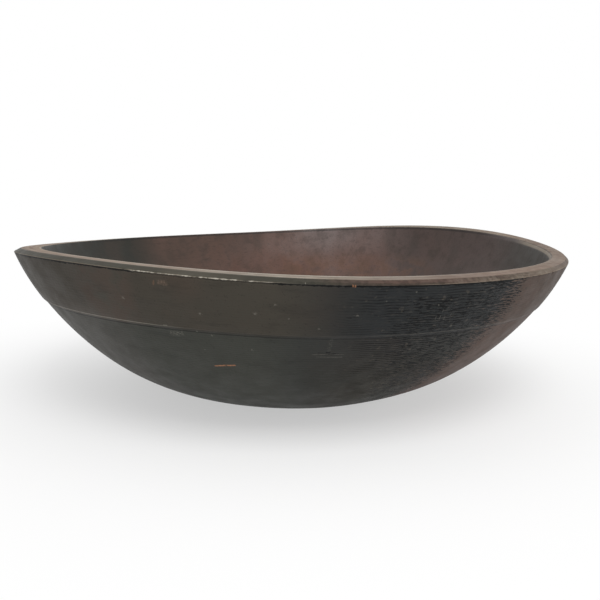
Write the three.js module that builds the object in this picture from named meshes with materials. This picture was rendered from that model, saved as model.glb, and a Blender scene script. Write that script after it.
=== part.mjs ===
// A turned wooden bowl, in millimetres, +Z up. The origin is the centre of its flat foot, on the ground.
// It is one piece of wood, cut round on a lathe while green. Drying has drawn it to an oval with a saddled rim.
import * as THREE from "three";

// The outside, from the foot up to the ledge. Angles are in degrees over level.
const footRadius = 48;
const footAngle = 4;
const ledgeHeight = 69.5;
const ledgeAngle = 53;
const ledgeDepth = 2.1;
const ledgeRise = 1.7;

// The band over the ledge, the chamfer and the flat rim.
const rimRadius = 192;
const bandFlare = 16;
const bandHeight = 28.4;
const bandBulge = 1;
const chamferWidth = 3.1;
const chamferHeight = 2.2;
const rimWidth = 11;

// The wood left between the outside and the hollow.
const floorThickness = 14;
const wallThickness = 11;

// How far the wall's curve and the hollow's upper curve run on before they bend, as shares of their length.
const footReach = 0.38;
const ledgeReach = 0.34;
const hollowReach = 0.45;

// The hollow's centre lies a little off the outside's, towards this direction in plan.
// The chamfer's upper corner follows it by a share.
const hollowShift = 2.4;
const hollowShiftAngle = 30;
const chamferFollow = 0.5;

// What drying did. It narrowed the bowl across its grain and lifted the rim at the two ends of the grain.
const grainAngle = 47;
const acrossShrink = 0.07;
const saddleRise = 4.9;
const threeWaveRise = 0.4;
const threeWaveAngle = 9;
const fourWaveRise = 0.8;
const saddlePower = 2.8;
const lean = 3;

// How finely the round forms are cut into faces.
const facetsRound = 96;
const wallSteps = 13;
const bandSteps = 4;
const hollowSteps = 5;

// The point at a distance from another, at an angle over level.
function reachFrom(point, distance, degrees) {
  const angle = THREE.MathUtils.degToRad(degrees);
  return new THREE.Vector2(point.x + distance * Math.cos(angle), point.y + distance * Math.sin(angle));
}

// Corners of the turned section, as radius and height.
const foot = new THREE.Vector2(footRadius, 0);
const ledgeLip = new THREE.Vector2(rimRadius - bandFlare, ledgeHeight + ledgeRise);
const ledgeRoot = new THREE.Vector2(ledgeLip.x - ledgeDepth, ledgeHeight);
const bandEdge = new THREE.Vector2(rimRadius, ledgeLip.y + bandHeight);
const rimOuter = new THREE.Vector2(rimRadius - chamferWidth, bandEdge.y + chamferHeight);
const rimInner = new THREE.Vector2(rimOuter.x - rimWidth, rimOuter.y);

// The outside of the lower wall, a long curve that leaves the foot nearly level.
function lowerWall() {
  const chord = foot.distanceTo(ledgeRoot);
  return new THREE.CubicBezierCurve(
    foot,
    reachFrom(foot, footReach * chord, footAngle),
    reachFrom(ledgeRoot, -ledgeReach * chord, ledgeAngle),
    ledgeRoot,
  );
}

// The slightly barrelled face of the band, from the ledge's lip up to the chamfer.
function bandFace() {
  const along = bandEdge.clone().sub(ledgeLip).normalize();
  const middle = ledgeLip.clone().add(bandEdge).multiplyScalar(0.5);
  const crown = middle.add(new THREE.Vector2(along.y, -along.x).multiplyScalar(2 * bandBulge));
  return new THREE.QuadraticBezierCurve(ledgeLip, crown, bandEdge);
}

// The hollow's lower wall follows the outside, with the wood growing from the wall's thickness to the floor's.
function hollowLowerWall(outside) {
  const points = [];
  for (let step = wallSteps; step >= 0; step -= 1) {
    const share = step / wallSteps;
    const tangent = outside.getTangent(share);
    const thickness = THREE.MathUtils.lerp(floorThickness, wallThickness, share);
    const inward = new THREE.Vector2(-tangent.y, tangent.x).multiplyScalar(thickness);
    points.push(outside.getPoint(share).add(inward));
  }
  return points;
}

// The hollow's upper wall runs from the rim's inner edge and meets the lower wall without a corner.
function hollowUpperWall(lowerTop) {
  const bend = reachFrom(lowerTop, hollowReach * lowerTop.distanceTo(rimInner), ledgeAngle);
  return new THREE.QuadraticBezierCurve(rimInner, bend, lowerTop);
}

// The whole section, up the outside, over the rim and down the hollow, back to the axis.
// Each station's hollowShare says how far it follows the hollow's shifted centre.
function section() {
  const outside = lowerWall();
  const floor = new THREE.Vector2(0, floorThickness);
  const lowerHollow = hollowLowerWall(outside);
  const upperHollow = hollowUpperWall(lowerHollow[0]).getPoints(hollowSteps);
  const outer = [new THREE.Vector2(0, 0), ...outside.getPoints(wallSteps), ...bandFace().getPoints(bandSteps)];
  const inner = [...upperHollow, ...lowerHollow.slice(1), floor];
  return [
    ...outer.map((point) => ({ point, hollowShare: 0 })),
    { point: rimOuter, hollowShare: chamferFollow },
    ...inner.map((point) => ({ point, hollowShare: 1 })),
  ];
}

// How far drying has lifted the wood at a place in plan. The foot stays flat.
function riseAt(x, y) {
  const angle = Math.atan2(y, x);
  const fromGrain = angle - THREE.MathUtils.degToRad(grainAngle);
  const threeWaveTurn = THREE.MathUtils.degToRad(threeWaveAngle);
  const outward = Math.max(0, Math.hypot(x, y) - footRadius) / (rimRadius - footRadius);
  const saddle =
    saddleRise * Math.cos(2 * fromGrain) +
    threeWaveRise * Math.cos(3 * (fromGrain - threeWaveTurn)) +
    fourWaveRise * Math.cos(4 * fromGrain);
  return saddle * outward ** saddlePower + lean * outward * Math.cos(angle);
}

// Squeezes the bowl across its grain and leaves its length along the grain.
function shrinkAcrossGrain() {
  const turn = THREE.MathUtils.degToRad(grainAngle);
  return new THREE.Matrix4()
    .makeRotationZ(turn)
    .multiply(new THREE.Matrix4().makeScale(1, 1 - acrossShrink, 1))
    .multiply(new THREE.Matrix4().makeRotationZ(-turn));
}

// The section spun about the axis, then moved vertex by vertex to its dried shape.
function driedBowl() {
  const stations = section();
  const profile = stations.map((station) => station.point);
  const geometry = new THREE.LatheGeometry(profile, facetsRound).rotateX(Math.PI / 2);
  const position = geometry.getAttribute("position");
  const shiftTurn = THREE.MathUtils.degToRad(hollowShiftAngle);
  const shift = new THREE.Vector3(Math.cos(shiftTurn), Math.sin(shiftTurn), 0).multiplyScalar(hollowShift);
  const vertex = new THREE.Vector3();
  for (let index = 0; index < position.count; index += 1) {
    const { hollowShare } = stations[index % stations.length];
    vertex.fromBufferAttribute(position, index);
    vertex.z += riseAt(vertex.x, vertex.y);
    vertex.addScaledVector(shift, hollowShare);
    position.setXYZ(index, vertex.x, vertex.y, vertex.z);
  }
  geometry.applyMatrix4(shrinkAcrossGrain());
  geometry.computeVertexNormals();
  return geometry;
}

const darkenedWood = new THREE.MeshStandardMaterial({ color: 0x463a34, roughness: 0.62, metalness: 0 });

const bowl = new THREE.Mesh(driedBowl(), darkenedWood);
bowl.name = "bowl";

const part = new THREE.Group();
part.add(bowl);

export default part;
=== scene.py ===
"""A turned wooden bowl with its old dark finish, on a pale floor in soft light, in metres with +Z up."""

from math import atan2, ceil, cos, hypot, pi, radians, sin

import bmesh
import bpy
import numpy as np
from bpy.props import FloatProperty, FloatVectorProperty, PointerProperty
from mathutils import Color, Matrix, Vector, noise
from mathutils.geometry import interpolate_bezier


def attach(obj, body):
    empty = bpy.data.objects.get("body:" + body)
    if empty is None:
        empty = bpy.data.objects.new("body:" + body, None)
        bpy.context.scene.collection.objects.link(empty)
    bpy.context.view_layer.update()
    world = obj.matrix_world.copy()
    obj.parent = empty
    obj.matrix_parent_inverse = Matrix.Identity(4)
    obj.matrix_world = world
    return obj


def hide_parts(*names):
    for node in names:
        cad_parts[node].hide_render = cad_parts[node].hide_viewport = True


bl_info = {
    "name": "Turned Wooden Bowl",
    "version": (1, 0, 0),
    "blender": (4, 5, 0),
    "location": "3D View > Sidebar > Bowl",
    "description": "Builds a turned wooden bowl that has dried to an oval, with its finish and a stage",
    "category": "Add Mesh",
}

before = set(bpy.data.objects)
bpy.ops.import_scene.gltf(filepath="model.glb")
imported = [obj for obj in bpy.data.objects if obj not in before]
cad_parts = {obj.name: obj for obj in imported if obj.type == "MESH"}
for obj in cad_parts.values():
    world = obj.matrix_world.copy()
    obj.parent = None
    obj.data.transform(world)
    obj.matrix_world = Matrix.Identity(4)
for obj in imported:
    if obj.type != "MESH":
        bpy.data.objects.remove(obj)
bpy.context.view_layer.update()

# The turned section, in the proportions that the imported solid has. Angles are in degrees over level.
FOOT_ANGLE = 4
LEDGE_ANGLE = 53
FOOT_REACH = 0.38
LEDGE_REACH = 0.34
HOLLOW_REACH = 0.45
BAND_BULGE = 0.001
CHAMFER_WIDTH = 0.0031
CHAMFER_HEIGHT = 0.0022

# The hollow's centre lies off the outside's, and the chamfer's upper corner follows it by a share.
HOLLOW_SHIFT = 0.0024 * Vector((cos(radians(30)), sin(radians(30)), 0))
CHAMFER_FOLLOW = 0.5

# How drying lifted the rim, beside the saddle that the user sets.
THREE_WAVE_RISE = 0.0004
THREE_WAVE_ANGLE = radians(9)
FOUR_WAVE_RISE = 0.0008
SADDLE_POWER = 2.8
LEAN = 0.003

# Distances between the section's stations, and how far each corner is rounded to either side.
# The turn is cut into steps, and the rings of the rim, from below its edge into the hollow, more finely.
WALL_SPACING = 0.0023
BAND_SPACING = 0.0012
RIM_SPACING = 0.0007
FLAT_SPACING = 0.004
ROUNDING = {"foot": 0.0015, "root": 0.0007, "lip": 0.0009, "edge": 0.0006, "outer": 0.0006, "inner": 0.0004}
TURN_STEPS = 288
RIM_CUTS = 2
RIM_CUTS_BELOW = 0.005
RIM_CUTS_INSIDE = 0.003
CORNER_STEPS = 5
MERGE_DISTANCE = 1e-6
SAME_RUN = 1e-7

# The pith of the log ran level above the bowl, along its grain, and one year's growth is a ring round it.
PITH_HEIGHT = 0.122
RING_SPACING = 0.0012
WAVES_TO_RINGS = 0.314

# The tool moved up by this pitch at each turn. Dashes of torn grain are this many to a radian.
ROW_PITCH = 0.0017
DASH_DENSITY = 39

# The finish changes around the bowl. The tool tore the grain about one angle in plan, and wear browned the
# wood about another, over less of it higher up; that brown is also a painted reflection of a warm surround.
# The angles of a side hold at the wall's reach from the axis.
TORN_ANGLE = 306
BROWN_ANGLE = 353.5
BROWN_START = 0.0093
BROWN_SLOPE = -0.6
LOW_BROWN_SLOPE = -1.51
LOW_BROWN_TOP = 0.074
WALL_REACH = 0.17


def tone(red, green, blue):
    """A colour given as it looks on a screen, from 0 to 255, as the linear colour that the shaders use."""
    return Color((red / 255, green / 255, blue / 255)).from_srgb_to_scene_linear()


def length(name, description, default, least=0.0):
    """A property for a length."""
    return FloatProperty(name=name, description=description, default=default, min=least, subtype="DISTANCE")


def shade(name, description, *screen):
    """A property for a colour, whose default is given as it looks on a screen."""
    colour = tone(*screen)
    return FloatVectorProperty(name=name, description=description, default=colour, size=3, subtype="COLOR")


class BowlSizes(bpy.types.PropertyGroup):
    """Sizes of the bowl as it left the lathe, and how it dried"""

    foot_radius: length("Foot radius", "Radius of the flat that it stands on", 0.048, 0.02)
    ledge_height: length("Ledge height", "Height of the ledge under the band", 0.0695, 0.03)
    ledge_depth: length("Ledge depth", "How far the band stands out over the wall", 0.0021, 0.0005)
    ledge_rise: length("Ledge rise", "How much higher the ledge is at its lip", 0.0017, 0.0005)
    rim_radius: length("Rim radius", "Radius at the top of the band", 0.192, 0.1)
    band_height: length("Band height", "Height of the band", 0.0284, 0.01)
    band_flare: length("Band flare", "How far the band leans out", 0.016, 0.002)
    rim_width: length("Rim width", "Width of the flat rim", 0.011, 0.004)
    floor_thickness: length("Floor thickness", "Wood left under the hollow", 0.014, 0.005)
    wall_thickness: length("Wall thickness", "Wood left in the wall at the ledge", 0.011, 0.004)
    grain_angle: FloatProperty(
        name="Grain angle", description="The grain's direction in plan", default=radians(47), subtype="ANGLE"
    )
    across_shrink: FloatProperty(
        name="Shrink",
        description="Share of its width lost across the grain",
        default=0.07,
        min=0,
        max=0.12,
        subtype="FACTOR",
    )
    saddle_rise: length("Saddle rise", "How far the rim rose at the grain's ends", 0.0049)


class BowlColours(bpy.types.PropertyGroup):
    """Colours of the finish and of the wood where it is rubbed bare"""

    olive: shade("Olive", "The finish of the band", 64, 60, 53)
    grey: shade("Grey", "The finish of the lower wall", 60, 61, 56)
    black: shade("Black", "The finish where it is thickest", 38, 40, 41)
    # Also laid over the east side, where it is partly a painted reflection of a warm surround.
    brown: shade("Brown", "The finish worn thin at the sides", 81, 65, 58)
    warm: shade("Warm", "Patches where the wood shows through", 79, 63, 54)
    ruddy: shade("Ruddy", "The reddish brown of the hollow", 93, 67, 57)
    # Also laid over the hollow's right side as painted shade.
    hollow_grey_and_shade: shade("Hollow grey", "The greyer brown of the hollow's worn side", 74, 62, 58)
    # Also laid as painted shade at the hollow's two ends.
    dark: shade("Dark", "The hollow where its finish is thick", 38, 38, 31)
    # Also laid as a painted sheen on the lower west wall and a painted reflection high in the hollow and
    # along its right edge.
    bloom_and_sheen: shade("Bloom", "The greyish bloom on the old finish", 122, 113, 112)
    tan: shade("Tan", "The rubbed flat of the rim", 138, 126, 110)
    slate: shade("Slate", "The chamfer under the rim", 65, 63, 56)
    bare: shade("Bare", "Bare wood in fresh scrapes", 164, 114, 82)
    pale: shade("Pale", "Old chips, scuffs and specks", 168, 163, 151)
    # Also laid as painted shade in the ledge's root and on its face, and in the hollow at its left end and
    # under the far rim's edge.
    dirt_and_shade: shade("Dirt", "Dirt and finish in the open pores", 10, 11, 12)


# The turned section.


def leaning(distance, angle):
    """A step of a given length in the section's plane, at an angle in degrees over level."""
    return distance * Vector((cos(radians(angle)), sin(radians(angle))))


def sweep(start, bend, end, spacing):
    """Points on the curve that leaves start towards bend and arrives at end from it."""
    steps = ceil((end - start).length / spacing) + 1
    return interpolate_bezier(start, start.lerp(bend, 2 / 3), end.lerp(bend, 2 / 3), end, steps)


def straight(start, end, spacing):
    """Points on the line from start to end."""
    steps = ceil((end - start).length / spacing)
    return [start.lerp(end, step / steps) for step in range(steps + 1)]


def section_corners(sizes):
    """The corners of the turned section, as radius and height, from the foot up and in to the hollow."""
    lip = Vector((sizes.rim_radius - sizes.band_flare, sizes.ledge_height + sizes.ledge_rise))
    edge = Vector((sizes.rim_radius, lip.y + sizes.band_height))
    outer = edge + Vector((-CHAMFER_WIDTH, CHAMFER_HEIGHT))
    return {
        "foot": Vector((sizes.foot_radius, 0)),
        "root": Vector((lip.x - sizes.ledge_depth, sizes.ledge_height)),
        "lip": lip,
        "edge": edge,
        "outer": outer,
        "inner": outer - Vector((sizes.rim_width, 0)),
    }


def wall_and_offset(corners, sizes):
    """Points up the outside of the lower wall, and the hollow's points that face them, from the top down."""
    foot, root = corners["foot"], corners["root"]
    chord = (root - foot).length
    low = foot + leaning(FOOT_REACH * chord, FOOT_ANGLE)
    high = root - leaning(LEDGE_REACH * chord, LEDGE_ANGLE)
    count = ceil(chord / WALL_SPACING) + 1
    wall = interpolate_bezier(foot, low, high, root, count)
    hollow = []
    for index, point in enumerate(wall):
        share = index / (count - 1)
        rest = 1 - share
        heading = rest * rest * (low - foot) + 2 * rest * share * (high - low)
        heading += share * share * (root - high)
        inward = Vector((-heading.y, heading.x)).normalized()
        thickness = rest * sizes.floor_thickness + share * sizes.wall_thickness
        hollow.insert(0, point + thickness * inward)
    return wall, hollow


def turned_section(sizes):
    """Stations of radius, run and height, and the run at each corner. Run is the way along the section."""
    corners = section_corners(sizes)
    foot, root, lip, edge, outer, inner = corners.values()
    wall, hollow = wall_and_offset(corners, sizes)
    along = (edge - lip).normalized()
    crown = (lip + edge) / 2 + 2 * BAND_BULGE * Vector((along.y, -along.x))
    bend = hollow[0] + leaning(HOLLOW_REACH * (inner - hollow[0]).length, LEDGE_ANGLE)
    pieces = (
        straight(Vector((0, 0)), foot, FLAT_SPACING),
        wall,
        straight(root, lip, RIM_SPACING),
        sweep(lip, crown, edge, BAND_SPACING),
        straight(edge, outer, RIM_SPACING),
        straight(outer, inner, RIM_SPACING),
        sweep(inner, bend, hollow[0], WALL_SPACING),
        hollow,
        straight(hollow[-1], Vector((0, sizes.floor_thickness)), FLAT_SPACING),
    )
    points = [point for piece in pieces for point in piece[:-1]] + [pieces[-1][-1]]
    stations = [Vector((points[0].x, 0, points[0].y))]
    for before, point in zip(points, points[1:]):
        stations.append(Vector((point.x, stations[-1].y + (point - before).length, point.y)))
    runs = {name: stations[points.index(corner)].y for name, corner in corners.items()}
    return stations, runs


def round_corner(stations, run, reach):
    """The stations with the corner at a run rounded over a short reach to either side."""
    corner = min(stations, key=lambda station: abs(station.y - run))
    before = [station for station in stations if station.y < run - reach]
    after = [station for station in stations if station.y > run + reach]
    start = corner + (before[-1] - corner) * (reach / (corner.y - before[-1].y))
    end = corner + (after[0] - corner) * (reach / (after[0].y - corner.y))
    bends = start.lerp(corner, 2 / 3), end.lerp(corner, 2 / 3)
    return before + interpolate_bezier(start, *bends, end, CORNER_STEPS + 1) + after


# The dried bowl.


def spin_section(stations):
    """The section turned about the axis as a closed solid. Each vertex keeps its run in a layer."""
    bowl = bmesh.new()
    run_layer = bowl.verts.layers.float.new("section_run")
    chain = []
    for radius, run, height in stations:
        vert = bowl.verts.new((radius, 0, height))
        vert[run_layer] = run
        chain.append(vert)
    edges = [bowl.edges.new(pair) for pair in zip(chain, chain[1:])]
    turn = {"cent": (0, 0, 0), "axis": (0, 0, 1), "angle": 2 * pi, "steps": TURN_STEPS}
    bmesh.ops.spin(bowl, geom=chain + edges, **turn, use_merge=True)
    bmesh.ops.remove_doubles(bowl, verts=bowl.verts, dist=MERGE_DISTANCE)
    bmesh.ops.recalc_face_normals(bowl, faces=bowl.faces)
    return bowl, run_layer


def refine_rim(bowl, run_layer, low, high):
    """Cuts the rings between two runs more finely around, so that the worn edge can be ragged."""
    rings = []
    for edge in bowl.edges:
        first, second = (vert[run_layer] for vert in edge.verts)
        if abs(first - second) < SAME_RUN and low < first < high:
            rings.append(edge)
    bmesh.ops.subdivide_edges(bowl, edges=rings, cuts=RIM_CUTS, use_grid_fill=True)


def rise_at(x, y, sizes):
    """How far drying has lifted the wood at a place in plan. The foot stays flat."""
    angle = atan2(y, x)
    from_grain = angle - sizes.grain_angle
    outward = max(0, hypot(x, y) - sizes.foot_radius) / (sizes.rim_radius - sizes.foot_radius)
    saddle = (
        sizes.saddle_rise * cos(2 * from_grain)
        + THREE_WAVE_RISE * cos(3 * (from_grain - THREE_WAVE_ANGLE))
        + FOUR_WAVE_RISE * cos(4 * from_grain)
    )
    return saddle * outward**SADDLE_POWER + LEAN * outward * cos(angle)


def dry(bowl, run_layer, runs, sizes):
    """Moves each vertex from where it was turned to where drying has drawn it."""
    stops = (runs["edge"], runs["outer"], runs["inner"])
    for vert in bowl.verts:
        share = float(np.interp(vert[run_layer], stops, (0, CHAMFER_FOLLOW, 1)))
        vert.co.z += rise_at(vert.co.x, vert.co.y, sizes)
        vert.co += share * HOLLOW_SHIFT
    turn = Matrix.Rotation(sizes.grain_angle, 3, "Z")
    shrink = turn @ Matrix.Diagonal((1, 1 - sizes.across_shrink, 1)) @ turn.transposed()
    bmesh.ops.transform(bowl, matrix=shrink.to_4x4(), verts=bowl.verts)


# Chips on the chamfer's lower edge, as the angle in plan in degrees, the width and the depth.
CHIPS = (
    (243.5, 0.0022, 0.0005),
    (249.0, 0.0020, 0.0006),
    (255.2, 0.0030, 0.0006),
    (262.4, 0.0022, 0.0007),
    (271.2, 0.0012, 0.0008),
    (278.5, 0.0015, 0.0006),
    (285.2, 0.0016, 0.0006),
    (293.4, 0.0014, 0.0009),
    (295.2, 0.0012, 0.0007),
    (301.5, 0.0022, 0.0009),
    (303.0, 0.0012, 0.0007),
    (306.4, 0.0016, 0.0009),
    (310.6, 0.0012, 0.0009),
    (312.8, 0.0020, 0.0006),
    (318.6, 0.0014, 0.0010),
    (325.0, 0.0012, 0.0008),
    (38.0, 0.0022, 0.0006),
    (121.0, 0.0026, 0.0007),
    (176.0, 0.0020, 0.0006),
)

# The edge under the chamfer is ragged between two angles in plan, and less so elsewhere.
RAGGED_FROM = 238
RAGGED_TO = 270
RAGGED_ELSEWHERE = 0.35
RAGGED_DEPTH, RAGGED_FINENESS = 0.0005, 430
EDGE_REACH = 0.0016

# Slow unevenness, less of it on the rim and more again inside the hollow, and the rings that the tool left.
UNEVEN_DEPTH, UNEVEN_FINENESS = 0.00016, 22
RIM_UNEVENNESS = 0.35
RIM_EASE = 0.01
RING_DEPTH, RING_FINENESS = 0.00004, 420

# How deep and how far hands have rubbed the rim's two corners at its east end.
OUTER_RUB, OUTER_RUB_REACH = 0.0003, 0.0035
INNER_RUB, INNER_RUB_REACH = 0.0006, 0.0030
RUB_SHARPNESS = 8


def closeness(distance, reach):
    """1 where a distance is nothing, falling evenly to 0 at its reach."""
    return max(0, 1 - abs(distance) / reach)


def weather(bowl, run_layer, runs):
    """Takes a little wood off: unevenness, tool rings, rubbed corners and a ragged, chipped edge."""
    bowl.normal_update()
    rim_stops = (runs["edge"], runs["outer"], runs["inner"], runs["inner"] + RIM_EASE)
    moves = []
    for vert in bowl.verts:
        run, place = vert[run_layer], vert.co
        if run < runs["foot"] + ROUNDING["foot"]:
            moves.append(0)
            continue
        uneven = float(np.interp(run, rim_stops, (1, RIM_UNEVENNESS, RIM_UNEVENNESS, 1)))
        depth = uneven * UNEVEN_DEPTH * (1 + noise.noise(place * UNEVEN_FINENESS))
        depth += RING_DEPTH * (1 + noise.noise(Vector((run * RING_FINENESS, 3.1, 0))))
        angle = atan2(place.y, place.x) * 180 / pi % 360
        east = max(0, cos(radians(angle))) ** RUB_SHARPNESS
        depth += east * OUTER_RUB * closeness(run - runs["outer"], OUTER_RUB_REACH)
        depth += east * INNER_RUB * closeness(run - runs["inner"], INNER_RUB_REACH)
        near = closeness(run - runs["edge"], EDGE_REACH)
        if near:
            ragged = 1 if RAGGED_FROM < angle < RAGGED_TO else RAGGED_ELSEWHERE
            depth += near * ragged * RAGGED_DEPTH * max(0, noise.noise(place * RAGGED_FINENESS) + 0.25)
            for chip_angle, width, chip_depth in CHIPS:
                apart = (angle - chip_angle) * pi / 180 * hypot(place.x, place.y)
                depth += near * chip_depth * closeness(apart, width)
        moves.append(depth)
    for vert, depth in zip(bowl.verts, moves):
        vert.co -= depth * vert.normal


def assign_finishes(bowl, run_layer, runs):
    """Gives each face the finish of its part of the section: foot, outside, rim or hollow."""
    stops = (runs["foot"], runs["outer"], runs["inner"])
    for face in bowl.faces:
        face.smooth = True
        run = sum(vert[run_layer] for vert in face.verts) / len(face.verts)
        face.material_index = int(np.searchsorted(stops, run))


# Node helpers.


def add(tree, kind, inputs=None, **settings):
    """A new shader node, set up, with its inputs filled by values or by the outputs that they come from."""
    node = tree.nodes.new(f"ShaderNode{kind}")
    for name, value in settings.items():
        setattr(node, name, value)
    for key, value in (inputs or {}).items():
        if isinstance(value, bpy.types.NodeSocket):
            tree.links.new(value, node.inputs[key])
        else:
            node.inputs[key].default_value = value
    return node


def maths(tree, operation, *values):
    """The result of a Math node."""
    return add(tree, "Math", dict(enumerate(values)), operation=operation).outputs[0]


def vectors(tree, operation, *values, output=0):
    """A result of a Vector Math node."""
    return add(tree, "VectorMath", dict(enumerate(values)), operation=operation).outputs[output]


def fade(tree, value, low, high, to_low=0.0, to_high=1.0):
    """A soft step that goes from one level to another while a value goes from low to high."""
    inputs = {"Value": value, "From Min": low, "From Max": high, "To Min": to_low, "To Max": to_high}
    return add(tree, "MapRange", inputs, interpolation_type="SMOOTHSTEP").outputs[0]


def blend(tree, share, first, second):
    """A colour between two others, the second of them a plain one."""
    first = first if isinstance(first, bpy.types.NodeSocket) else (*first, 1)
    return add(tree, "Mix", {0: share, 6: first, 7: (*second, 1)}, data_type="RGBA").outputs[2]


def mottle(tree, vector, scale, detail=2.0, roughness=0.5):
    """The level of a Noise Texture."""
    inputs = {"Vector": vector, "Scale": scale, "Detail": detail, "Roughness": roughness}
    return add(tree, "TexNoise", inputs).outputs["Fac"]


def own_nodes(owner):
    """The node tree of a new material or world, emptied."""
    owner.use_nodes = True
    owner.node_tree.nodes.clear()
    return owner.node_tree


def label(name):
    """A socket's label, from a name with underscores for its spaces."""
    return name.replace("_", " ").capitalize()


def new_effect(name, **inputs):
    """A new node group that reads the place on the bowl and other inputs: its tree and what it is given."""
    tree = bpy.data.node_groups.new(name, "ShaderNodeTree")
    for key, default in {"place": (0, 0, 0), **inputs}.items():
        kind = "NodeSocketVector" if isinstance(default, tuple) else "NodeSocketFloat"
        tree.interface.new_socket(label(key), in_out="INPUT", socket_type=kind).default_value = default
    return tree, tree.nodes.new("NodeGroupInput").outputs


def put_out(tree, **levels):
    """Closes a node group with an output for each of its levels."""
    for key in levels:
        tree.interface.new_socket(label(key), in_out="OUTPUT", socket_type="NodeSocketFloat")
    result = tree.nodes.new("NodeGroupOutput")
    for key, level in levels.items():
        tree.links.new(level, result.inputs[label(key)])
    return tree


def place_effect(tree, group, **inputs):
    """The outputs of a node group placed in a material or in another group."""
    named = {label(key): value for key, value in inputs.items()}
    return add(tree, "Group", named, node_tree=group).outputs


def wood_figure_group(sizes):
    """Open pores, growth rings and fibres of the wood, cut by whatever surface reads them."""
    tree, given = new_effect("wood_figure")
    laid = {"Location": (0, 0, -PITH_HEIGHT), "Rotation": (0, 0, -sizes.grain_angle)}
    along = add(tree, "Mapping", {"Vector": given["Place"], **laid}).outputs[0]
    waves = {"Vector": along, "Scale": WAVES_TO_RINGS / RING_SPACING, "Distortion": 9}
    wobble = {"Detail": 1, "Detail Scale": 0.09, "Detail Roughness": 0.4}
    rings = add(tree, "TexWave", waves | wobble, wave_type="RINGS", rings_direction="X").outputs["Fac"]
    pores = mottle(tree, vectors(tree, "MULTIPLY", along, (190, 900, 900)), 1, detail=1.5)
    fibres = mottle(tree, vectors(tree, "MULTIPLY", along, (22, 620, 620)), 1, detail=2)
    return put_out(tree, pores=pores, rings=rings, fibres=fibres)


def patina_group():
    """Uneven darkening: blotches, clouds, bands around the bowl, streaks down its wall, spots and specks."""
    tree, given = new_effect("patina", run=0.0)
    place = given["Place"]
    level = vectors(tree, "MULTIPLY", place, (0.3, 0.3, 0))
    around = vectors(tree, "ADD", level, add(tree, "CombineXYZ", {2: given["Run"]}).outputs[0])
    cells = add(tree, "TexVoronoi", {"Vector": place, "Scale": 110}).outputs
    chance = add(tree, "SeparateColor", {0: cells["Color"]}).outputs[0]
    dots = fade(tree, cells["Distance"], 0.03, 0.075, 1, 0)
    return put_out(
        tree,
        blotches=mottle(tree, place, 16, detail=3, roughness=0.55),
        clouds=mottle(tree, place, 85, detail=3, roughness=0.6),
        bands=mottle(tree, around, 160, detail=4, roughness=0.65),
        streaks=mottle(tree, vectors(tree, "MULTIPLY", place, (1, 1, 0.15)), 60, detail=2.5),
        spots=mottle(tree, place, 320, detail=1.5),
        specks=maths(tree, "MULTIPLY", dots, maths(tree, "GREATER_THAN", chance, 0.75)),
    )


def ragged_line_group():
    """A line around the bowl at a given run of its section, with a ragged edge."""
    tree, given = new_effect("ragged_line", run=0.0, line=0.0, half_width=0.001, raggedness=0.001)
    bite = maths(tree, "SUBTRACT", mottle(tree, given["Place"], 480, detail=2, roughness=0.6), 0.5)
    away = maths(tree, "ABSOLUTE", maths(tree, "SUBTRACT", given["Run"], given["Line"]))
    away = maths(tree, "MULTIPLY_ADD", bite, given["Raggedness"], away)
    inside = maths(tree, "DIVIDE", away, given["Half width"])
    return put_out(tree, mask=fade(tree, inside, 0.6, 1.1, 1, 0))


def torn_rows_group():
    """Grain torn by the tool: dashes, roughly in one row for each of its turns, and faint unbroken lines."""
    tree, given = new_effect("torn_rows", run=0.0, strength=1.0)
    apart = add(tree, "SeparateXYZ", {0: given["Place"]}).outputs
    around = maths(tree, "MULTIPLY", maths(tree, "ARCTAN2", apart[1], apart[0]), DASH_DENSITY)
    wander = mottle(tree, given["Place"], 70, detail=2)
    row = maths(tree, "MULTIPLY_ADD", given["Run"], 1 / ROW_PITCH, maths(tree, "MULTIPLY", wander, 1.6))
    fine = add(tree, "CombineXYZ", {0: around, 1: maths(tree, "MULTIPLY", row, 1.9)}).outputs[0]
    coarse = vectors(tree, "MULTIPLY", fine, (0.6, 0.62, 1))
    wave = maths(tree, "COSINE", maths(tree, "MULTIPLY", row, 2 * pi))
    level = maths(tree, "MULTIPLY_ADD", wave, 0.05, mottle(tree, fine, 1, detail=2.5, roughness=0.6))
    whole = fade(tree, given["Strength"], 0, 1, 0.25, 0)
    small = fade(tree, maths(tree, "SUBTRACT", level, whole), 0.546, 0.573)
    large = fade(tree, maths(tree, "SUBTRACT", mottle(tree, coarse, 1, detail=2.5), whole), 0.563, 0.59)
    return put_out(
        tree,
        dashes=maths(tree, "MAXIMUM", small, large),
        gaps=fade(tree, level, 0.33, 0.43, 1, 0),
        lines=fade(tree, wave, -0.2, 0.9),
        level=level,
    )


def facing_group():
    """How far a place lies towards a direction in plan, from -1 to 1, fading to 0 over the axis."""
    tree, given = new_effect("facing", direction=(1, 0, 0), core=0.03)
    level = vectors(tree, "MULTIPLY", given["Place"], (1, 1, 0))
    away = vectors(tree, "LENGTH", level, output=1)
    core = maths(tree, "MULTIPLY", given["Core"], given["Core"])
    spread = maths(tree, "SQRT", maths(tree, "MULTIPLY_ADD", away, away, core))
    along = vectors(tree, "DOT_PRODUCT", level, given["Direction"], output=1)
    return put_out(tree, facing=maths(tree, "DIVIDE", along, spread))


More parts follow.
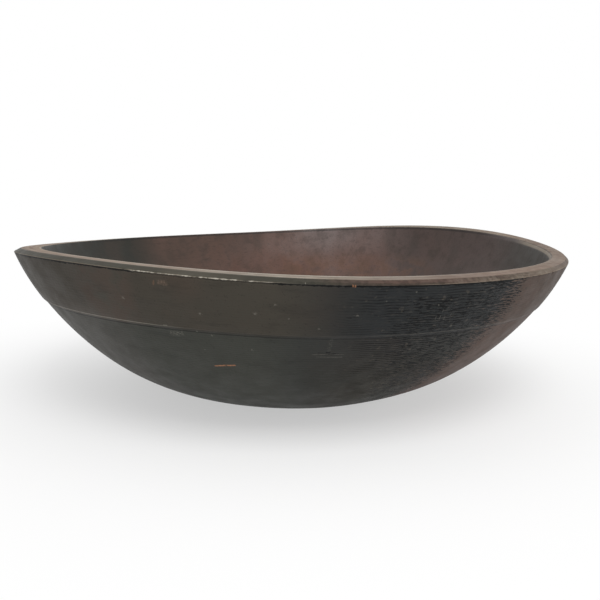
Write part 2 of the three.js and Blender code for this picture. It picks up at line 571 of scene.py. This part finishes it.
def stroke_group():
    """A short mark on the surface, such as a scrape, with a broken edge."""
    reaches = {"half_length": 0.003, "half_width": 0.0005}
    tree, given = new_effect("stroke", centre=(0, 0, 0), heading=(1, 0, 0), **reaches, flakiness=0.0)
    offset = vectors(tree, "SUBTRACT", given["Place"], given["Centre"])
    reach = vectors(tree, "DOT_PRODUCT", offset, given["Heading"], output=1)
    back = maths(tree, "MULTIPLY", given["Half length"], -1)
    reach = maths(tree, "MAXIMUM", maths(tree, "MINIMUM", reach, given["Half length"]), back)
    scaled = {0: given["Heading"], "Scale": reach}
    nearest = add(tree, "VectorMath", scaled, operation="SCALE").outputs[0]
    away = vectors(tree, "DISTANCE", offset, nearest, output=1)
    bite = maths(tree, "SUBTRACT", mottle(tree, given["Place"], 700, detail=2), 0.42)
    away = maths(tree, "MULTIPLY_ADD", bite, 1.7, maths(tree, "DIVIDE", away, given["Half width"]))
    inside = fade(tree, away, 0.5, 1.4, 1, 0)
    flakes = fade(tree, mottle(tree, given["Place"], 1500, detail=1), 0.42, 0.62)
    whole = maths(tree, "SUBTRACT", 1, given["Flakiness"])
    kept = maths(tree, "MULTIPLY_ADD", flakes, given["Flakiness"], whole)
    return put_out(tree, mask=maths(tree, "MULTIPLY", inside, kept))


def marks_group(name, marks, stroke):
    """A mask of several strokes at their own places."""
    tree, given = new_effect(name)
    mask = 0.0
    for start, end, half_width, strength, flakiness in marks:
        start, end = Vector(start) / 1000, Vector(end) / 1000
        lie = {"centre": (start + end) / 2, "heading": (end - start).normalized()}
        reaches = {"half_length": (end - start).length / 2, "half_width": half_width / 1000}
        mark = place_effect(tree, stroke, place=given["Place"], **lie, **reaches, flakiness=flakiness)[0]
        mask = maths(tree, "MAXIMUM", mask, maths(tree, "MULTIPLY", mark, strength))
    return put_out(tree, mask=mask)


def flecks_group():
    """A mask of small pale flecks at their own places, each fading from its middle out."""
    tree, given = new_effect("flecks")
    stretch = maths(tree, "MULTIPLY_ADD", mottle(tree, given["Place"], 1500, detail=1), 2.4, -0.3)
    mask = 0.0
    for x, y, z, radius in FLECKS:
        away = vectors(tree, "DISTANCE", given["Place"], Vector((x, y, z)) / 1000, output=1)
        away = maths(tree, "MULTIPLY", away, stretch)
        mask = maths(tree, "MAXIMUM", mask, fade(tree, away, radius / 4000, radius / 900, 1, 0))
    return put_out(tree, mask=mask)


# Marks on the outside, in millimetres: both ends, half width, how strong and how flaky.
# Scrapes show bare wood, scuffs are pale, and nicks are dark.
SCRAPES = (
    ((-42.2, -147.2, 49.2), (-37.6, -149.0, 49.8), 0.60, 0.95, 0.3),
    ((-35.4, -149.6, 50.1), (-31.9, -150.7, 50.5), 0.66, 0.90, 0.3),
    ((-37.6, -149.0, 49.8), (-35.4, -149.6, 50.1), 0.90, 0.40, 0.7),
    ((26.4, -181.0, 99.0), (26.4, -181.1, 97.6), 0.42, 0.60, 0),
    ((27.5, -180.8, 98.6), (27.5, -180.8, 97.4), 0.38, 0.50, 0),
    ((-69.0, -175.0, 97.4), (-69.3, -173.9, 95.3), 0.50, 0.18, 0.3),
    ((-66.0, -175.6, 96.6), (-63.4, -176.4, 96.4), 1.50, 0.12, 0.7),
)
SCUFFS = (
    ((8.2, -159.3, 59.1), (16.2, -158.2, 59.1), 0.24, 0.20, 0.3),
    ((10.4, -157.7, 57.7), (23.8, -155.0, 57.3), 0.24, 0.18, 0.3),
    ((19.8, -157.4, 59.1), (24.6, -156.2, 58.9), 0.20, 0.14, 0.4),
    ((17.6, -165.8, 68.8), (16.6, -160.2, 61.8), 1.10, 0.06, 0.9),
    ((3.9, -183.9, 99.6), (3.9, -184.8, 98.5), 0.30, 0.60, 0),
    ((70.9, -156.2, 80.0), (70.5, -155.3, 78.2), 0.26, 0.18, 0.3),
    ((73.3, -155.1, 80.1), (72.7, -153.9, 77.7), 0.24, 0.20, 0.4),
    ((75.9, -153.4, 79.9), (75.3, -152.2, 77.5), 0.24, 0.18, 0.4),
    ((79.2, -152.3, 81.1), (78.7, -151.3, 79.0), 0.24, 0.18, 0.4),
    ((74.3, -156.8, 83.5), (74.0, -156.2, 82.3), 0.28, 0.16, 0.3),
    ((-66.8, -161.2, 73.2), (-65.2, -161.8, 73.0), 0.40, 0.25, 0.3),
    ((-66.2, -175.6, 96.8), (-63.2, -176.4, 96.2), 1.50, 0.08, 0.8),
    ((-63.2, -158.1, 68.3), (-58.2, -160.0, 69.0), 1.80, 0.16, 1),
)
NICKS = (
    ((11.2, -159.9, 60.3), (14.3, -159.4, 60.1), 0.34, 0.8, 0.2),
    ((15.6, -159.2, 60.5), (17.2, -158.9, 60.4), 0.50, 0.9, 0),
    ((18.2, -158.3, 59.7), (21.5, -157.5, 59.5), 0.34, 0.8, 0.2),
    ((13.2, -159.0, 59.3), (17.0, -158.2, 59.2), 0.30, 0.6, 0.3),
    ((24.0, -173.3, 81.3), (26.4, -172.8, 81.0), 0.34, 0.7, 0.2),
    ((38.2, -170.6, 82.3), (41.0, -169.8, 82.0), 0.34, 0.7, 0.2),
    ((53.6, -152.5, 65.5), (57.6, -151.0, 65.7), 0.55, 0.8, 0.2),
    ((54.6, -151.6, 64.5), (57.0, -150.6, 64.4), 0.34, 0.7, 0.3),
)

# Small pale flecks: their places and radii in millimetres.
FLECKS = (
    (-87.0, -161.5, 86.4, 0.8),
    (-49.6, -164.3, 70.6, 0.6),
    (-47.0, -172.7, 81.3, 0.7),
    (-42.1, -164.4, 68.8, 0.6),
    (-20.0, -177.5, 82.8, 0.7),
    (-10.3, -180.5, 87.9, 0.6),
    (-3.6, -176.3, 80.5, 0.5),
    (11.1, -171.7, 75.1, 0.6),
    (-22.2, -161.6, 61.5, 0.6),
    (29.8, -172.8, 82.2, 0.7),
    (58.3, -169.9, 94.2, 0.6),
    (71.2, -160.1, 86.5, 0.5),
    (77.0, -156.2, 84.6, 0.5),
    (80.7, -146.1, 73.3, 0.9),
)


class Finish:
    """A finish in the making: its place and run on the bowl, the shared effects and the colour so far."""

    def __init__(self, name, groups, colours, ground, core=0.03):
        self.material = bpy.data.materials.new(name)
        self.tree = own_nodes(self.material)
        self.groups = groups
        self.colours = colours
        self.core = core
        self.colour = getattr(colours, ground)
        self.place = add(self.tree, "TexCoord").outputs["Object"]
        self.height = add(self.tree, "SeparateXYZ", {0: self.place}).outputs[2]
        self.run = add(self.tree, "Attribute", attribute_name="section_run").outputs["Fac"]
        self.figure = self.effect("wood_figure")
        self.patina = self.effect("patina", run=self.run)

    def effect(self, name, **inputs):
        """The outputs of one of the shared effects, read at this surface."""
        return place_effect(self.tree, self.groups[name], place=self.place, **inputs)

    def step(self, value, low, high, to_low=0.0, to_high=1.0):
        """A soft step from one level to another while a value goes from low to high."""
        return fade(self.tree, value, low, high, to_low, to_high)

    def level(self, name):
        """One of the levels of the wood's figure or of its patina."""
        return self.figure[name] if name in self.figure else self.patina[name]

    def where(self, name, low, high):
        """A mask of where one of those levels goes from low to high."""
        return self.step(self.level(name), low, high)

    def facing(self, degrees):
        """How far this place faces an angle in plan: 1 towards it, 0 at the axis, -1 across from it."""
        gain = hypot(self.core, WALL_REACH) / WALL_REACH
        direction = gain * Vector((cos(radians(degrees)), sin(radians(degrees)), 0))
        return self.effect("facing", direction=direction, core=self.core)[0]

    def side(self, degrees, inner, outer, ragged=0.0, both=False):
        """A mask of the side that faces an angle in plan, full within inner degrees and gone past outer."""
        level, power = self.facing(degrees), 1
        if both:
            level, power = maths(self.tree, "MULTIPLY", level, level), 2
        if ragged:
            wander = maths(self.tree, "SUBTRACT", self.level("Blotches"), 0.5)
            level = maths(self.tree, "MULTIPLY_ADD", wander, ragged, level)
        return self.step(level, cos(radians(outer)) ** power, cos(radians(inner)) ** power)

    def line(self, line, half_width, raggedness):
        """A mask of a ragged line around the bowl."""
        shape = {"line": line, "half_width": half_width, "raggedness": raggedness}
        return self.effect("ragged_line", run=self.run, **shape)[0]

    def times(self, *values):
        """The product of several masks."""
        product = values[0]
        for value in values[1:]:
            product = maths(self.tree, "MULTIPLY", product, value)
        return product

    def ease(self, mask, off, on):
        """A level that a mask moves from one value to another."""
        return maths(self.tree, "MULTIPLY_ADD", mask, on - off, off)

    def lay(self, over, *masks):
        """Lays one of the colours over what is there, where the product of some masks says so."""
        self.colour = blend(self.tree, self.times(*masks), self.colour, getattr(self.colours, over))

    def surface(self, smooth, rough, relief, depth, specular):
        """Closes the material with its shader and its bumps, whose heights are the sum of some levels."""
        roughness = self.step(self.level("Clouds"), 0.2, 0.8, smooth, rough)
        height = 0.0
        for level, share in relief:
            height = maths(self.tree, "MULTIPLY_ADD", level, share, height)
        normal = add(self.tree, "Bump", {"Height": height, "Distance": depth}).outputs[0]
        inputs = {"Base Color": self.colour, "Roughness": roughness, "Normal": normal}
        inputs["Specular IOR Level"] = specular
        shader = add(self.tree, "BsdfPrincipled", inputs)
        add(self.tree, "OutputMaterial", {"Surface": shader.outputs[0]})
        return self.material


def outside_finish(groups, colours, runs):
    """The wall, ledge, band and chamfer: a dark finish, thick over torn grain and worn at the sides, with
    painted reflection, sheen, highlights and shade in places.
    """
    finish = Finish("outside_finish", groups, colours, "grey")
    tree, level = finish.tree, finish.level
    lay, side, where, step = finish.lay, finish.side, finish.where, finish.step
    ease, line, times = finish.ease, finish.line, finish.times
    on_band = step(finish.run, runs["root"] - 0.001, runs["lip"])
    facing = finish.facing(BROWN_ANGLE)
    # This level places the brown at the east side: wear, and a painted reflection of a warm surround.
    wear = maths(tree, "MULTIPLY_ADD", facing, facing, BROWN_START)
    wear = maths(tree, "MULTIPLY_ADD", finish.height, BROWN_SLOPE, wear)
    low_height = maths(tree, "MINIMUM", finish.height, LOW_BROWN_TOP)
    wear = maths(tree, "MULTIPLY_ADD", low_height, LOW_BROWN_SLOPE, wear)
    band_top = times(step(finish.run, runs["edge"] - 0.009, runs["edge"] - 0.004), side(288, 9, 16))
    torn = times(side(TORN_ANGLE, 9, 28, both=True), step(wear, 0.38, 0.54, 1, 0), ease(band_top, 1, 0))
    rows = finish.effect("torn_rows", run=finish.run, strength=torn)
    edge_of_wear = maths(tree, "MULTIPLY_ADD", rows["Level"], -0.5, maths(tree, "ADD", wear, 0.25))
    brown = times(step(edge_of_wear, 0.36, 0.43), side(15, 80, 165))

    # The ground: olive on the band, greyer and browner at its left, and black where the finish is thick.
    lay("olive", on_band)
    lay("slate", on_band, side(232, 5, 11), 0.6)
    lay("brown", side(238, 1, 6), on_band, where("Clouds", 0.3, 0.6), 0.4)
    lay("warm", side(262, 6, 20), on_band, where("Blotches", 0.45, 0.65), 0.3)
    thick = side(TORN_ANGLE - 3, 18, 38, ragged=0.04, both=True)
    lay("black", thick, ease(on_band, 0.75, 1))
    lay("dark", side(212, 12, 28), step(finish.height, 0.074, 0.088), 0.5)
    under_ledge = ease(on_band, 1, 0)
    lay("black", under_ledge, side(281, 8, 20), 0.35)
    lay("dark", thick, under_ledge, step(finish.height, 0.07, 0.03))
    lay("warm", thick, under_ledge, where("Blotches", 0.35, 0.65), 0.1)
    low_east = times(side(316, 8, 24), step(finish.height, 0.058, 0.036))
    lay("dark", low_east, 0.3)
    lay("dirt_and_shade", low_east, 0.5)
    lay("brown", low_east, step(rows["Level"], 0.56, 0.36), 0.5)
    # A painted sheen low on the west wall, in a pale grey.
    lay("bloom_and_sheen", side(214, 12, 30), step(finish.height, 0.084, 0.068), 0.13)
    lay("olive", on_band, side(204, 14, 28), 0.5)
    lay("dark", on_band, side(208, 10, 22), 0.35)
    lay("brown", on_band, side(224, 8, 14), 0.13)

    # The brown where wear has thinned the finish, which also stands for a painted reflection of a warm
    # surround, with its fibres, bands and pores.
    lay("brown", brown)
    lay("warm", brown, where("Fibres", 0.45, 0.7), 0.3)
    lay("grey", brown, where("Bands", 0.4, 0.65), 0.15)
    lay("grey", brown, side(20, 30, 65), 0.25)
    lay("dirt_and_shade", where("Bands", 0.5, 0.75), ease(brown, 0.2, 0.1))
    lay("dark", brown, on_band, 0.2)
    lay("dirt_and_shade", brown, where("Spots", 0.5, 0.66), 0.14)
    lay("brown", where("Fibres", 0.5, 0.8), 0.08)
    lay("dirt_and_shade", where("Pores", 0.63, 0.70), 0.18)

    # The torn rows, and the faint unbroken lines to their left.
    lay("tan", rows["Gaps"], torn, 0.1)
    lay("tan", where("Spots", 0.65, 0.74), torn, 0.08)
    lay("dirt_and_shade", rows["Dashes"], 0.95)
    lined = times(side(290, 5, 15), ease(brown, 1, 0))
    lines = times(rows["Lines"], lined, where("Clouds", 0.35, 0.6))
    lay("dirt_and_shade", lines, step(rows["Level"], 0.38, 0.55, 0.25, 0.75))
    lay("tan", lined, where("Spots", 0.66, 0.76), 0.09)

    # The ledge: its lip is rubbed pale and given a painted highlight, with a painted shadow in its root and
    # painted shade on its face.
    west = side(222, 20, 32)
    rubbed = maths(tree, "MULTIPLY_ADD", west, 0.3, ease(side(300, 12, 20), 0.03, 0.12))
    # A pale line on the lip: rubbed wood, and a painted highlight where the rounded lip catches the light.
    lay("pale", line(runs["lip"] - 0.0002, 0.0004, 0.0004), rubbed)
    # A painted shadow: a dark line in the ledge's root, under the band.
    lay("dirt_and_shade", line(runs["root"], 0.0006, 0.0006), ease(west, 0.45, 0.65))
    # Painted shade on the ledge's face, which looks down.
    ledge_face_shade = line((runs["root"] + runs["lip"]) / 2, 0.0014, 0.0004)
    lay("dirt_and_shade", ledge_face_shade, side(260, 12, 18), 0.3)

    # The chamfer, from grey at its left to worn tan and brown at its right.
    on_chamfer = step(finish.run, runs["edge"] - 0.0002, runs["edge"] + 0.0002)
    lay("slate", on_chamfer)
    lay("olive", on_chamfer, where("Clouds", 0.4, 0.65), 0.45)
    lay("brown", on_chamfer, side(335, 50, 66))
    lay("tan", on_chamfer, side(335, 22, 42), where("Bands", 0.7, 0.3), 0.55)
    lay("olive", on_chamfer, side(335, 26, 46), 0.3)
    lay("tan", on_chamfer, side(256, 3, 6), 0.06)
    lay("dark", on_chamfer, side(266, 3, 9), 0.25)
    lay("dirt_and_shade", on_chamfer, where("Spots", 0.46, 0.62), side(290, 8, 26), 0.3)
    lay("pale", on_chamfer, where("Spots", 0.46, 0.36), side(312, 8, 26), 0.08)
    shaded = line(runs["edge"] + 0.0008, 0.0010, 0.0020)
    lay("dark", shaded, side(283, 8, 15), 0.5)
    # A pale tan line on the chamfer's lower edge: worn wood, and a painted highlight where the edge catches
    # the light.
    arris_wear_and_highlight = line(runs["edge"] + 0.0003, 0.0003, 0.0005)
    lay("tan", arris_wear_and_highlight, ease(side(279, 8, 13), 0.4, 0))

    # The dark line under the chamfer, and the pale chips along its left part.
    chipped_side = side(255.7, 9, 10.5)
    under = times(ease(side(306, 26, 34), 0.9, 1), ease(chipped_side, 1, 0.4))
    under = times(under, ease(brown, 1, 0.2), ease(side(188, 18, 28), 1, 0.3))
    lay("dirt_and_shade", line(runs["edge"] - 0.0007, 0.0006, 0.0018), under)
    chips = ease(where("Spots", 0.38, 0.52), 0.3, 0.9)
    lay("pale", line(runs["edge"], 0.00042, 0.0015), chipped_side, chips)

    # Specks, flecks, scuffs, scrapes and nicks.
    pale = maths(tree, "MAXIMUM", times(level("Specks"), 0.16), times(finish.effect("flecks")[0], 0.17))
    lay("pale", maths(tree, "MAXIMUM", pale, finish.effect("scuffs")[0]))
    lay("bare", finish.effect("scrapes")[0])
    lay("dirt_and_shade", finish.effect("nicks")[0])

    relief = (
        (rows["Dashes"], -1.0),
        (level("Fibres"), 0.25),
        (lines, -0.5),
        (rows["Lines"], 0.08),
        (level("Bands"), 0.4),
    )
    return finish.surface(0.45, 0.62, relief, 0.0003, 0.10)


def rim_finish(groups, colours, runs):
    """The flat rim, rubbed to tan, with the lines of the tool along it."""
    finish = Finish("rim_finish", groups, colours, "tan")
    lay, side, where, level = finish.lay, finish.side, finish.where, finish.level
    ease, line, times = finish.ease, finish.line, finish.times
    width = runs["inner"] - runs["outer"]

    # Worn patches, and the rings of the tool.
    lay("brown", where("Clouds", 0.35, 0.75), 0.35)
    lay("brown", where("Bands", 0.5, 0.7), 0.3)
    front, right = side(264, 24, 44), side(350, 40, 60)
    ringed = ease(right, 1, 0.3)
    lay("pale", line(runs["outer"] + 0.26 * width, 0.0011, 0.0003), front, 0.18)
    lay("pale", line(runs["outer"] + 0.80 * width, 0.0018, 0.0003), front, 0.35)
    lay("brown", line(runs["outer"] + 0.50 * width, 0.0012, 0.0002), ringed, 0.6)
    lay("brown", line(runs["outer"] + 0.12 * width, 0.0006, 0.0006), ringed, 0.4)
    lay("brown", where("Pores", 0.58, 0.68), 0.3)
    lay("brown", where("Spots", 0.5, 0.64), right, 0.35)

    # How the tan changes around the rim: greyer at the left, browner at the right.
    from_edge = maths(finish.tree, "SUBTRACT", finish.run, runs["outer"])
    lay("slate", side(235, 24, 36), finish.step(from_edge, 0.001, 0.004, 1, 0), 0.42)
    lay("olive", side(215, 35, 55), 0.1)
    lay("brown", side(330, 44, 56), 0.4)
    lay("brown", side(298, 2, 7), 0.3)
    lay("brown", right, 0.13)
    lay("bare", right, 0.06)
    lay("brown", side(312, 14, 24), 0.10)
    lay("bare", side(308, 14, 24), 0.05)
    lay("bare", side(215, 30, 50), 0.12)
    lay("pale", side(259, 10, 20), 0.08)

    # Its inner edge, with painted shade at the far side and rubbed pale at the near side.
    # Painted shade along the inner edge on the far side.
    far_edge_shade = times(side(60, 70, 90), line(runs["inner"] - 0.0004, 0.0012, 0.0006))
    lay("olive", far_edge_shade, 0.7)
    lay("pale", line(runs["inner"] - 0.0004, 0.0008, 0.0006), side(262, 60, 80), 0.3)
    return finish.surface(0.5, 0.7, ((level("Bands"), 0.6), (level("Fibres"), 0.5)), 0.0002, 0.2)


def hollow_finish(groups, colours, runs):
    """The hollow: a thin reddish brown finish with a soft satin, greying and darkening with painted shade
    towards its two ends.
    """
    finish = Finish("hollow_finish", groups, colours, "ruddy", core=0.08)
    lay, side, where, level = finish.lay, finish.side, finish.where, finish.level
    step, ease, line = finish.step, finish.ease, finish.line
    high = step(finish.run, runs["inner"] + 0.002, runs["inner"] + 0.030, 1, 0.3)
    low = ease(high, 1, 0)
    low_down = step(finish.height, 0.070, 0.086, 1, 0)

    # Greyish blotches and streaks, a painted reflection high on the far wall in the same grey, the warm
    # brown to its left, and painted shade at the grey and dark ends.
    lay("bloom_and_sheen", where("Blotches", 0.46, 0.62), 0.1)
    # A painted reflection of the light, high on the far wall, in a pale grey.
    lay("bloom_and_sheen", side(70, 12, 24), high, 0.4)
    lay("bloom_and_sheen", side(82, 3, 10), high, 0.2)
    lay("bloom_and_sheen", where("Streaks", 0.45, 0.65), 0.12)
    lay("dark", side(111, 4, 12), 0.45)
    lay("bloom_and_sheen", side(51, 5, 15), 0.16)
    lay("warm", side(133, 12, 24, ragged=0.05), 0.9)
    lay("dark", side(131, 6, 14), 0.2)
    lay("ruddy", side(142, 6, 12), 0.25)
    lay("ruddy", side(121, 14, 26), 0.45)
    lay("dark", side(119, 12, 22), 0.16)
    lay("dark", low_down, side(60, 1, 6), 0.2)
    # Painted shade at both ends of the hollow: greyer, then dark, at the right end, and dark at the left
    # end.
    lay("hollow_grey_and_shade", side(20, 32, 50, ragged=0.05))
    lay("dark", side(-8, 12, 36, ragged=0.08), 0.75)
    lay("dark", side(188, 39, 54, ragged=0.15))
    lay("dirt_and_shade", side(188, 40, 54), 0.13)

    # Blotches, clouds, streaks, spots, pores and fibres, and the ruddy wood low down.
    lay("ruddy", where("Blotches", 0.47, 0.62), 0.12)
    lay("hollow_grey_and_shade", where("Clouds", 0.45, 0.62), 0.16)
    lay("dark", side(140, 8, 18), low, 0.5)
    lay("dark", where("Streaks", 0.5, 0.3), 0.25)
    lay("dark", where("Clouds", 0.5, 0.7), 0.25)
    lay("dark", where("Spots", 0.56, 0.68), 0.15)
    lay("dirt_and_shade", where("Pores", 0.6, 0.7), 0.2)
    lay("dirt_and_shade", where("Fibres", 0.55, 0.8), 0.2)
    lay("bare", low_down, side(73, 20, 34), where("Clouds", 0.40, 0.6), 0.11)
    lay("bare", low_down, side(51, 3, 8), 0.08)

    # The top edge: a painted sheen and rubbed wood at its right, and painted shade under the rim's edge at
    # the far side.
    edge = step(finish.run, runs["inner"] + 0.001, runs["inner"] + 0.004, 1, 0)
    # A painted sheen along the top edge at the right.
    lay("bloom_and_sheen", edge, side(8, 8, 24), 0.4)
    worn = step(finish.run, runs["inner"] + 0.0022, runs["inner"] + 0.0030, 1, 0)
    lay("tan", worn, side(-2, 10, 20), 0.8)
    # Painted shade: a dark line under the rim's edge at the far side.
    lay("dirt_and_shade", line(runs["inner"] + 0.0012, 0.0009, 0.0008), side(95, 55, 80), 0.6)
    return finish.surface(0.42, 0.58, ((level("Fibres"), 0.3), (level("Clouds"), 0.6)), 0.0002, 0.27)


def foot_finish(groups, colours, runs):
    """The flat foot: worn where it rubs, with the rings of the tool and the grime of shelves."""
    finish = Finish("foot_finish", groups, colours, "olive")
    lay, where = finish.lay, finish.where
    rows = finish.effect("torn_rows", run=finish.run)
    towards_edge = finish.step(finish.run, 0.5 * runs["foot"], runs["foot"])
    lay("brown", where("Blotches", 0.4, 0.6), finish.ease(towards_edge, 0.3, 0.9))
    lay("dirt_and_shade", where("Rings", 0.3, 0.9), 0.25)
    lay("dirt_and_shade", where("Fibres", 0.5, 0.75), 0.3)
    lay("dirt_and_shade", rows["Lines"], where("Clouds", 0.4, 0.6), 0.2)
    lay("tan", finish.line(runs["foot"], 0.0012, 0.0014), 0.3)
    relief = ((rows["Lines"], 0.5), (finish.level("Fibres"), -0.4))
    return finish.surface(0.55, 0.75, relief, 0.0002, 0.2)


def finished_mesh(name, shape):
    """The mesh of a bmesh that is done with."""
    mesh = bpy.data.meshes.new(name)
    shape.to_mesh(mesh)
    shape.free()
    return mesh


def new_object(context, name, data):
    """A new object in the scene."""
    item = bpy.data.objects.new(name, data)
    context.collection.objects.link(item)
    return item


class BOWL_OT_turn(bpy.types.Operator):
    """Turn, dry, wear and finish the bowl"""

    bl_idname = "bowl.turn"
    bl_label = "Turn the Bowl"

    def execute(self, context):
        sizes, colours = context.scene.bowl_sizes, context.scene.bowl_colours
        stations, runs = turned_section(sizes)
        for corner, reach in ROUNDING.items():
            stations = round_corner(stations, runs[corner], reach)
        bowl, run_layer = spin_section(stations)
        refine_rim(bowl, run_layer, runs["edge"] - RIM_CUTS_BELOW, runs["inner"] + RIM_CUTS_INSIDE)
        dry(bowl, run_layer, runs, sizes)
        weather(bowl, run_layer, runs)
        assign_finishes(bowl, run_layer, runs)
        mesh = finished_mesh("turned_bowl", bowl)
        stroke = stroke_group()
        groups = {
            "wood_figure": wood_figure_group(sizes),
            "patina": patina_group(),
            "ragged_line": ragged_line_group(),
            "torn_rows": torn_rows_group(),
            "facing": facing_group(),
            "flecks": flecks_group(),
        }
        for name, marks in (("scrapes", SCRAPES), ("scuffs", SCUFFS), ("nicks", NICKS)):
            groups[name] = marks_group(name, marks, stroke)
        for make in (foot_finish, outside_finish, rim_finish, hollow_finish):
            mesh.materials.append(make(groups, colours, runs))
        piece = new_object(context, "turned_bowl", mesh)
        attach(piece, "root")
        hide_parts("bowl")
        return {"FINISHED"}


# The studio. The light reaches the bowl at a level at which a colour renders about as it is written.
SKY_LEVEL = 0.62
FLOOR_REACH = 6.0
FLOOR_TONE = 0.9
FLOOR_GAP = 0.0002
CAMERA_TARGET = Vector((0.0014525, 0, 0.0619554))
CAMERA_DISTANCE = 0.5393222
CAMERA_ELEVATION = radians(9.0129)
CAMERA_ROLL = radians(1.3737)
CAMERA_LENS = 45.152
CAMERA_SENSOR = 36.0

# The floor goes over to white between these distances from the bowl's axis, and starts half way to it.
WHITE_FROM = 0.10
WHITE_TO = 0.36
WHITE_START = 0.5

# The lamps: name, place, aim, width, power and colour.
LAMPS = (
    ("key_lamp", (0.12, -0.75, 0.85), (0, 0, 0.05), 0.5, 6, (1, 1, 1)),
    ("side_lamp", (1.1, -0.25, 0.35), (0, 0, 0.06), 0.5, 2.2, (1, 0.95, 0.9)),
)


def seen_directly(tree):
    """A mask of the rays that show the background: from the camera, off gloss and through glass."""
    path = add(tree, "LightPath").outputs
    mask = maths(tree, "MAXIMUM", path["Is Camera Ray"], path["Is Glossy Ray"])
    return maths(tree, "MAXIMUM", mask, path["Is Transmission Ray"])


def set_sky(scene):
    """A plain white surround, dimmer as a light than as a background."""
    scene.world = bpy.data.worlds.new("white_surround")
    tree = own_nodes(scene.world)
    strength = maths(tree, "MULTIPLY_ADD", seen_directly(tree), 1 - SKY_LEVEL, SKY_LEVEL)
    sky = add(tree, "Background", {"Color": (1, 1, 1, 1), "Strength": strength})
    add(tree, "OutputWorld", {"Surface": sky.outputs[0]})


def lay_floor(context):
    """A round pale floor that keeps the bowl's shadow, fades to white and is clear from underneath."""
    disc = bmesh.new()
    bmesh.ops.create_circle(disc, cap_ends=True, segments=96, radius=FLOOR_REACH)
    mesh = finished_mesh("pale_floor", disc)
    material = bpy.data.materials.new("pale_floor")
    tree = own_nodes(material)
    place = add(tree, "TexCoord").outputs["Object"]
    away = fade(tree, vectors(tree, "LENGTH", place, output=1), WHITE_FROM, WHITE_TO, WHITE_START, 1)
    paper = add(tree, "BsdfDiffuse", {"Color": (FLOOR_TONE, FLOOR_TONE, FLOOR_TONE, 1)})
    white = add(tree, "Emission", {"Color": (1, 1, 1, 1), "Strength": 1.0})
    share = maths(tree, "MULTIPLY", away, seen_directly(tree))
    upper = add(tree, "MixShader", {0: share, 1: paper.outputs[0], 2: white.outputs[0]})
    under = add(tree, "NewGeometry").outputs["Backfacing"]
    clear = add(tree, "BsdfTransparent")
    surface = add(tree, "MixShader", {0: under, 1: upper.outputs[0], 2: clear.outputs[0]})
    add(tree, "OutputMaterial", {"Surface": surface.outputs[0]})
    mesh.materials.append(material)
    ground = new_object(context, "pale_floor", mesh)
    ground.location.z = -FLOOR_GAP


def hang_lamp(context, name, place, aim, size, power, colour):
    """A square soft lamp that faces the bowl."""
    light = bpy.data.lights.new(name, "AREA")
    light.size = size
    light.energy = power
    light.color = colour
    lamp = new_object(context, name, light)
    lamp.location = place
    lamp.rotation_euler = (Vector(aim) - Vector(place)).to_track_quat("-Z", "Y").to_euler()


def set_camera(context):
    """The camera, at the photograph's height, distance and tilt."""
    lens = bpy.data.cameras.new("camera")
    lens.lens = CAMERA_LENS
    lens.sensor_width = CAMERA_SENSOR
    camera = new_object(context, "camera", lens)
    back = Vector((0, -cos(CAMERA_ELEVATION), sin(CAMERA_ELEVATION)))
    level = Matrix.Rotation(pi / 2 - CAMERA_ELEVATION, 4, "X")
    tilt = Matrix.Rotation(CAMERA_ROLL, 4, "Z")
    camera.matrix_world = Matrix.Translation(CAMERA_TARGET + CAMERA_DISTANCE * back) @ level @ tilt
    context.scene.camera = camera


class BOWL_OT_stage(bpy.types.Operator):
    """Set up the floor, the surround, the lamps and the camera"""

    bl_idname = "bowl.stage"
    bl_label = "Set the Stage"

    def execute(self, context):
        context.scene.view_settings.view_transform = "Standard"
        set_sky(context.scene)
        lay_floor(context)
        for lamp in LAMPS:
            hang_lamp(context, *lamp)
        set_camera(context)
        return {"FINISHED"}


class BOWL_PT_sidebar(bpy.types.Panel):
    """The bowl's sizes, colours and steps"""

    bl_idname = "BOWL_PT_sidebar"
    bl_label = "Turned Wooden Bowl"
    bl_space_type = "VIEW_3D"
    bl_region_type = "UI"
    bl_category = "Bowl"

    def draw(self, context):
        for group in (context.scene.bowl_sizes, context.scene.bowl_colours):
            box = self.layout.box()
            for name in group.__annotations__:
                box.prop(group, name)
        for operator in (BOWL_OT_turn, BOWL_OT_stage):
            self.layout.operator(operator.bl_idname)


CLASSES = (BowlSizes, BowlColours, BOWL_OT_turn, BOWL_OT_stage, BOWL_PT_sidebar)


def register():
    """Registers the classes, and gives the scene its sizes and colours."""
    for cls in CLASSES:
        bpy.utils.register_class(cls)
    bpy.types.Scene.bowl_sizes = PointerProperty(type=BowlSizes)
    bpy.types.Scene.bowl_colours = PointerProperty(type=BowlColours)


def unregister():
    """Takes the sizes, the colours and the classes away again."""
    del bpy.types.Scene.bowl_colours
    del bpy.types.Scene.bowl_sizes
    for cls in reversed(CLASSES):
        bpy.utils.unregister_class(cls)


def main():
    """Builds the bowl and its stage."""
    register()
    bpy.ops.bowl.turn()
    bpy.ops.bowl.stage()


if __name__ == "__main__":
    main()
